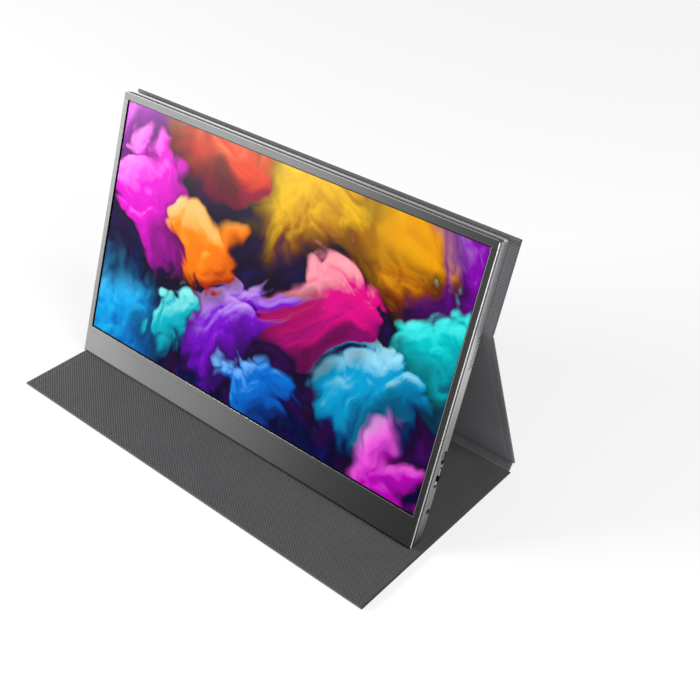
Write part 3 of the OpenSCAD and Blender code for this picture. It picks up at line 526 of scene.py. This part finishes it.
def circuit_board():
    """Green solder mask with pale copper traces and pads."""
    tree = Tree("circuit_board")
    place = tree.place()
    flat = tree.combine(along(tree, place, ACROSS), along(tree, place, UP))
    cells = tree.node("ShaderNodeTexVoronoi", {"Vector": flat, "Scale": 260.0, "Randomness": 0.55},
                      feature="F1", distance="CHEBYCHEV").outputs["Distance"]
    pads = tree.fade(cells, 0.16, 0.12)
    traces = {"Vector": flat, "Scale": 130.0, "Mortar Size": 0.035}
    bricks = tree.node("ShaderNodeTexBrick", traces).outputs["Fac"]
    colour = tree.mix(bricks, (0.012, 0.085, 0.04), (0.03, 0.16, 0.07))
    colour = tree.mix(pads, colour, (0.62, 0.47, 0.16))
    return tree.finish(colour, Roughness=0.38, Metallic=tree.times(pads, 0.9),
                       Normal=tree.bump(tree.math("ADD", pads, bricks), 0.2, 0.00006))


def set_material(material, *names):
    for name in names:
        mesh = NODES[name].data
        mesh.materials.clear()
        mesh.materials.append(material)


bezel = case_metal("bezel_metal", face=grey(60), chamfer=grey(160), roughness=0.50, is_front=True)
shell = case_metal("shell_metal", face=grey(140), chamfer=grey(176), roughness=0.42, is_front=False)
plastic = speckled("black_plastic", (0.010, 0.010, 0.011), (0.018, 0.018, 0.019), 300.0, 0.2, roughness=0.5)
set_material(bezel, "front_bezel", "chin_plate")
set_material(shell, "rear_shell")
set_material(plastic, "parting_gasket", "audio_jack", "display_cable", "board_insulator", "lcd_tape",
             "board_chips", "speaker_right", "speaker_left")
set_material(screen_glass(), "lcd_cell")
set_material(speckled("key_metal", grey(128), grey(140), 200.0, 0.1, Metallic=1.0, roughness=0.36),
             "power_button", "menu_rocker")
set_material(port_metal(), "usb_c_port", "hdmi_port")
set_material(speckled("sheet_steel", (0.42, 0.43, 0.44), (0.58, 0.59, 0.60), 120.0, 0.15, Metallic=1.0,
                      roughness=0.34),
             "lcd_tray", "chip_shield", "board_screws", "keeper_plates", "foot_keeper")
set_material(speckled("magnet_nickel", (0.55, 0.55, 0.54), (0.68, 0.68, 0.66), 200.0, 0.1, Metallic=1.0,
                      roughness=0.25), "base_magnets", "attach_magnets")
set_material(circuit_board(), "main_board", "panel_driver_board", "button_board")
set_material(speckled("flex_amber", (0.36, 0.17, 0.03), (0.50, 0.26, 0.05), 150.0, 0.1, roughness=0.35),
             "panel_flex_tails", "button_lead")
set_material(speckled("clear_film", (0.80, 0.83, 0.86), (0.88, 0.90, 0.92), 80.0, 0.05, roughness=0.25),
             "optical_films", "light_guide", "reflector_sheet")
set_material(speckled("clear_light", (0.62, 0.70, 0.78), (0.75, 0.82, 0.90), 500.0, 0.05, roughness=0.15),
             "led_strip")
set_material(speckled("smoked_light", (0.30, 0.31, 0.32), (0.40, 0.41, 0.42), 500.0, 0.05, roughness=0.12),
             "status_light")
set_material(speckled("lead_red", (0.30, 0.015, 0.012), (0.40, 0.03, 0.02), 600.0, 0.1, roughness=0.5),
             "speaker_leads")
set_material(speckled("pressed_board", (0.20, 0.17, 0.13), (0.36, 0.32, 0.26), 400.0, 0.5, roughness=0.85),
             "base_board", "strut_board", "attach_board")


# Cloth pieces of the cover


def on_panel(place_of, x, s, n):
    """A point of a panel: x across, s along from its zero, n out of its inner side."""
    zero_y, zero_z, slope = place_of
    return (x, zero_y + s * math.cos(slope) - n * math.sin(slope),
            zero_z + s * math.sin(slope) + n * math.cos(slope))


# Distances from a panel's side at which its rim, hem and pressed line need points
HEM_POINTS = (0, 0.00004, 0.00014, 0.0003, 0.00052, 0.0008, 0.0011, 0.0018, 0.003, 0.0042, 0.0050, 0.0054,
              0.0058, 0.0062, 0.0067, 0.0074, 0.009)
COARSE_STEP = 0.012


def steps(length):
    """Places from 0 to length, close together near both ends, where the hem's form needs them."""
    ends = HEM_POINTS[-1]
    count = max(2, round((length - 2 * ends) / COARSE_STEP))
    middle = [ends + (length - 2 * ends) * i / count for i in range(1, count)]
    return sorted({*HEM_POINTS, *middle, *(length - d for d in HEM_POINTS)})


def smoothstep(value):
    value = min(1.0, max(0.0, value))
    return value * value * (3 - 2 * value)


# Form of a panel: its rounded rim, its hem and the line pressed beside it, and its flattened end at a crease
RIM = 0.0011
HEM_END, HEM_SLOPE, HEM_SINK = 0.0046, 0.0016, 0.00010
LINE_AT, LINE_WIDTH, LINE_SINK = 0.0056, 0.0005, 0.00010
PRESSED_HALF, PRESSED_REACH = 0.00066, 0.0062
CORNER = 0.0008


def half_height(dx, low, high, low_free, high_free):
    """Half of the panel's thickness at a distance from its sides (dx) and from its two ends."""
    free = min([dx] + ([low] if low_free else []) + ([high] if high_free else []))
    share = min(1.0, max(0.0, free / RIM))
    height = HALF_T * math.sqrt(1 - (1 - share) ** 2)
    hem = 1 - smoothstep((free - HEM_END) / HEM_SLOPE)
    line = math.exp(-(((free - LINE_AT) / LINE_WIDTH) ** 2))
    height -= min(height, HEM_SINK * hem + LINE_SINK * line)
    for end, is_free in ((low, low_free), (high, high_free)):
        if not is_free:
            height = min(height, PRESSED_HALF + (HALF_T - PRESSED_HALF) * smoothstep(end / PRESSED_REACH))
    return height


def rounded_corner(x, s, length, low_free, high_free):
    """Moves a point of the square corner grid onto the panel's rounded corner."""
    cx = CORNER if x < CORNER else COVER_W - CORNER if x > COVER_W - CORNER else None
    far = length - CORNER
    cs = CORNER if s < CORNER and low_free else far if s > far and high_free else None
    if cx is None or cs is None:
        return x, s
    from_x, from_s = x - cx, s - cs
    reach = math.hypot(from_x, from_s)
    share = max(abs(from_x), abs(from_s)) / reach if reach > 1e-9 else 1.0
    return cx + from_x * share, cs + from_s * share


def panel_skin(name, place_of, s0, s1, low_free, high_free, side, material):
    """One cloth skin of a panel: side 1 is the lining, side -1 the outer cloth."""
    length = s1 - s0
    xs, ss = steps(COVER_W), steps(length)
    faces, points, index = [], [], {}

    def vertex(i, j, layer):
        key = (i, j, layer)
        if key in index:
            return index[key]
        x, s = xs[i], ss[j]
        height = half_height(min(x, COVER_W - x), s, length - s, low_free, high_free)
        n = height if layer == 0 else max(height - SKIN, min(height, 0.00002))
        x, s = rounded_corner(x, s, length, low_free, high_free)
        points.append(on_panel(place_of, x - COVER_W / 2, s0 + s, side * n))
        index[key] = len(points) - 1
        return index[key]

    for layer in (0, 1):
        for i in range(len(xs) - 1):
            for j in range(len(ss) - 1):
                ring = [vertex(i, j, layer), vertex(i + 1, j, layer), vertex(i + 1, j + 1, layer),
                        vertex(i, j + 1, layer)]
                faces.append(ring if (layer == 0) == (side == 1) else ring[::-1])
    for i in range(len(xs) - 1):
        for j in (0, len(ss) - 1):
            faces.append([vertex(i, j, 0), vertex(i + 1, j, 0), vertex(i + 1, j, 1), vertex(i, j, 1)])
    for j in range(len(ss) - 1):
        for i in (0, len(xs) - 1):
            faces.append([vertex(i, j, 0), vertex(i, j + 1, 0), vertex(i, j + 1, 1), vertex(i, j, 1)])
    return mesh_piece(name, points, faces, material)


def mesh_piece(name, points, faces, material):
    mesh = bpy.data.meshes.new(name)
    mesh.from_pydata(points, [], faces)
    work = bmesh.new()
    work.from_mesh(mesh)
    bmesh.ops.remove_doubles(work, verts=work.verts, dist=1e-6)
    bmesh.ops.recalc_face_normals(work, faces=work.faces)
    work.to_mesh(mesh)
    work.free()
    for polygon in mesh.polygons:
        polygon.use_smooth = True
    mesh.materials.append(material)
    made = bpy.data.objects.new(name, mesh)
    bpy.context.scene.collection.objects.link(made)
    return made


def wander(x, seed, scale):
    """A smooth wave with no repeat, from about -1 to 1."""
    return sum(math.sin(x * scale * k + seed * (1.7 + k)) / k for k in (1.0, 1.9, 3.3)) / 1.8


# Soft strips over the creases: half thickness, rim, and how far the strip wanders and its front side swells
CREASE_HALF, CREASE_RIM = 0.00061, 0.0008
CREASE_LIFT, CREASE_SWELL = 0.00005, 0.08
CREASE_STEPS = 150


def crease_skin(name, line, inset, material, seed):
    """A soft strip of both cloths along a crease. line holds points (y, z) from one panel to the next."""
    low, high = -COVER_W / 2 + inset, COVER_W / 2 - inset
    rim = (0.00012, 0.0004, CREASE_RIM)
    xs = sorted({*(low + (high - low) * i / CREASE_STEPS for i in range(CREASE_STEPS + 1)),
                 *(low + d for d in rim), *(high - d for d in rim)})
    line = [Vector((0, *p)) for p in line]
    last = len(line) - 1
    points, faces = [], []
    for x in xs:
        share = min(1.0, min(x - xs[0], xs[-1] - x) / CREASE_RIM)
        round_off = max(0.02, math.sqrt(1 - (1 - share) ** 2))
        front, rear = [], []
        for k, p in enumerate(line):
            run = (line[min(k + 1, last)] - line[max(k - 1, 0)]).normalized()
            normal = Vector((0, -run.z, run.y))
            bell = math.sin(math.pi * k / last) ** 2
            lift = CREASE_LIFT * bell * wander(x, seed + k * 0.35, 420)
            swell = 1 + CREASE_SWELL * bell * wander(x, seed + 5, 260)
            for sheet, half in ((front, CREASE_HALF * swell), (rear, -CREASE_HALF)):
                q = p + normal * (lift + half * round_off)
                sheet.append((x, q.y, q.z))
        points += front + rear[::-1]
    ring = 2 * len(line)
    for i in range(len(xs) - 1):
        for k in range(ring):
            a, b = i * ring + k, i * ring + (k + 1) % ring
            faces.append([a, b, b + ring, a + ring])
    faces.append(list(range(ring)))
    faces.append([(len(xs) - 1) * ring + k for k in range(ring)][::-1])
    return mesh_piece(name, points, faces, material)


def bent_line(corner, before, after, reach_back, reach_on, soft, count=22):
    """Points through a crease, from slope before to slope after, which turns over soft on each side."""
    made = []
    for i in range(count + 1):
        s = -reach_back + (reach_back + reach_on) * i / count
        slope = before + (after - before) * smoothstep((s + soft) / (2 * soft))
        made.append((corner[0] + s * math.cos(slope), corner[1] + s * math.sin(slope)))
    return made


NEUTRAL = (1.0, 0.99, 1.03)
PURPLE = (1.0, 0.98, 1.07)
# Painted light and shade: the lining gets a different grey on each panel, the base's lighter behind the case,
# the strut's lighter near the heel and the attach panel's darker towards its top end
base_in = cover_cloth("base_lining_cloth", BASE, ribs=(1, -0.75), level=58, tint=NEUTRAL,
                      weave_fade=(-0.03, 0.005, 1.0, 0.35), light=(-0.03, 0.01, 1.0, 1.32))
strut_in = cover_cloth("strut_lining_cloth", STRUT, ribs=(1, -0.75), level=96, tint=PURPLE, smooth=0.6,
                       light=(0.0, 0.08, 1.50, 0.92))
attach_in = cover_cloth("attach_lining_cloth", ATTACH, ribs=(1, 1), level=100, tint=PURPLE,
                        light=(0.060, 0.0655, 1.0, 0.68))
base_out, strut_out, attach_out = (
    cover_cloth(name + "_outer_cloth", place_of, ribs=(1, 1), level=74, tint=PURPLE)
    for name, place_of in (("base", BASE), ("strut", STRUT), ("attach", ATTACH)))
# Painted light: the crease strips get a lighter grey than the outer cloth
crease_cloth = cover_cloth("crease_cloth", SPINE, ribs=(1, -1), level=98, tint=PURPLE, smooth=0.6)

# Body, place, the panel's two ends, whether each end is free of a crease, and its inner and outer cloth
panels = [
    ("base", BASE, BASE_Y0, BASE_Y1, True, False, base_in, base_out),
    ("strut", STRUT, CREASE, STRUT_LEN - CREASE, False, False, strut_in, strut_out),
    ("attach", ATTACH, CREASE, ATTACH_LEN, False, True, attach_in, attach_out),
]
for body, place_of, s0, s1, low_free, high_free, lining, outer in panels:
    for side, material, node, slot in ((1, lining, body + "_lining", "lining_cloth"),
                                       (-1, outer, body + "_outer", "cover_cloth")):
        piece = panel_skin(node + "_skin", place_of, s0, s1, low_free, high_free, side, material)
        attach(piece, body)
        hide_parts(node)

# Name, the two bodies, the corner, the slopes before and after it, the reach to each side, the half width of
# the turn, and how far the strip ends inside the cover's sides
creases = [
    ("crease_rear", "base", "spine", SPINE[:2], 0.0, SPINE[2], 0.007, SPINE_W / 2, 0.0024, 0.0019),
    ("crease_heel", "spine", "strut", STRUT[:2], SPINE[2], STRUT[2], SPINE_W / 2, 0.007, 0.0024, 0.0019),
    ("crease_fold", "strut", "attach", ATTACH[:2], STRUT[2], ATTACH[2], 0.006, 0.006, 0.0030, 0.0),
]
for number, (name, a, b, corner, before, after, back, on, soft, inset) in enumerate(creases):
    line = bent_line(corner, before, after, back, on, soft)
    piece = crease_skin(name, line, inset, crease_cloth, number * 2.3 + 0.7)
    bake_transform(piece)
    if "spine" in (a, b):
        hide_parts("spine_strip")


# Floor, lamps and camera

WORLD_LIGHT = 0.30
# Kinds of rays that see the surroundings as plain white
WHITE_RAYS = ("Is Camera Ray", "Is Glossy Ray", "Is Transmission Ray")
FLOOR_HALF, FLOOR_Z = 6.0, -0.0002
LAMPS_AIM_Z = 0.1


def floor_material():
    """White floor that keeps a soft shadow. Camera and mirror rays see it almost white."""
    tree = Tree("floor_white")
    place = tree.place()
    cloud = tree.noise(place, 3.0, 2.0)
    pale = tree.mix(cloud, (0.86, 0.86, 0.86), (0.88, 0.88, 0.88))
    diffuse = tree.node("ShaderNodeBsdfDiffuse", {"Color": pale})
    glow = tree.node("ShaderNodeEmission", {"Color": (1.0, 1.0, 1.0, 1.0), "Strength": 1.0})
    path = tree.node("ShaderNodeLightPath")
    seen = tree.largest(*(path.outputs[ray] for ray in WHITE_RAYS))
    far = tree.fade(tree.vector("LENGTH", place), 0.5, 2.5, 0.64, 1.0)
    both = tree.node("ShaderNodeMixShader", {0: tree.times(seen, far)})
    tree.links.new(diffuse.outputs[0], both.inputs[1])
    tree.links.new(glow.outputs[0], both.inputs[2])
    out = tree.node("ShaderNodeOutputMaterial")
    tree.links.new(both.outputs[0], out.inputs["Surface"])
    return tree.material


floor_corners = [(x * FLOOR_HALF, y * FLOOR_HALF, FLOOR_Z) for x, y in ((-1, -1), (1, -1), (1, 1), (-1, 1))]
floor = mesh_piece("floor", floor_corners, [[0, 1, 2, 3]], floor_material())


def studio_world():
    """Even light from all sides. The camera and mirror rays see plain white."""
    world = bpy.data.worlds.new("studio")
    bpy.context.scene.world = world
    world.use_nodes = True
    nodes, links = world.node_tree.nodes, world.node_tree.links
    path = nodes.new("ShaderNodeLightPath")
    seen = path.outputs[WHITE_RAYS[0]]
    for ray in WHITE_RAYS[1:]:
        larger = nodes.new("ShaderNodeMath")
        larger.operation = "MAXIMUM"
        links.new(seen, larger.inputs[0])
        links.new(path.outputs[ray], larger.inputs[1])
        seen = larger.outputs[0]
    level = nodes.new("ShaderNodeMapRange")
    level.inputs["To Min"].default_value, level.inputs["To Max"].default_value = WORLD_LIGHT, 1.0
    links.new(seen, level.inputs["Value"])
    nodes["Background"].inputs["Color"].default_value = (1.0, 1.0, 1.0, 1.0)
    links.new(level.outputs["Result"], nodes["Background"].inputs["Strength"])


studio_world()


def direction(azimuth, elevation):
    """The way to a place seen from the object at an azimuth, counted from -Y towards +X, and an elevation."""
    a, e = math.radians(azimuth), math.radians(elevation)
    return Vector((math.sin(a) * math.cos(e), -math.cos(a) * math.cos(e), math.sin(e)))


def soft_box(name, azimuth, elevation, distance, width, height, watts):
    data = bpy.data.lights.new(name, "AREA")
    data.shape = "RECTANGLE"
    data.size, data.size_y, data.energy = width, height, watts
    made = bpy.data.objects.new(name, data)
    bpy.context.scene.collection.objects.link(made)
    away = direction(azimuth, elevation)
    made.location = away * distance + Vector((0, 0, LAMPS_AIM_Z))
    made.rotation_mode = "QUATERNION"
    made.rotation_quaternion = away.to_track_quat("Z", "Y")
    made.visible_camera = False


soft_box("key_lamp", azimuth=-50, elevation=12, distance=2.2, width=1.15, height=0.45, watts=105)
soft_box("fill_lamp", azimuth=84, elevation=24, distance=2.5, width=1.8, height=1.2, watts=78)

# Camera, fitted to the corners of the screen, the case and the cover in the photograph
CAMERA_AZIMUTH, CAMERA_ELEVATION, CAMERA_ROLL = 40.384, 35.342, 0.700
CAMERA_DISTANCE = 0.748264
TARGET = Vector((0.076293, 0.009236, 0.113459))
# The picture's width, the focal length and the picture's optical middle, in pixels
PICTURE_PX, FOCAL_PX, MIDDLE_PX = 700, 1066.804, (340.834, 340.462)


def photo_camera():
    lens = bpy.data.cameras.new("camera")
    lens.sensor_width = 36.0
    lens.lens = FOCAL_PX * lens.sensor_width / PICTURE_PX
    lens.shift_x = 0.5 - MIDDLE_PX[0] / PICTURE_PX
    lens.shift_y = MIDDLE_PX[1] / PICTURE_PX - 0.5
    lens.clip_start, lens.clip_end = 0.01, 30
    camera = bpy.data.objects.new("camera", lens)
    bpy.context.scene.collection.objects.link(camera)
    back = direction(CAMERA_AZIMUTH, CAMERA_ELEVATION)
    right = Vector((0, 0, 1)).cross(back).normalized()
    up = back.cross(right)
    roll = math.radians(CAMERA_ROLL)
    side = right * math.cos(roll) + up * math.sin(roll)
    over = up * math.cos(roll) - right * math.sin(roll)
    turned = Matrix((side, over, back)).transposed().to_4x4()
    camera.matrix_world = Matrix.Translation(TARGET + back * CAMERA_DISTANCE) @ turned
    bpy.context.scene.camera = camera


photo_camera()
bpy.context.scene.view_settings.view_transform = "Standard"

bpy.context.view_layer.update()
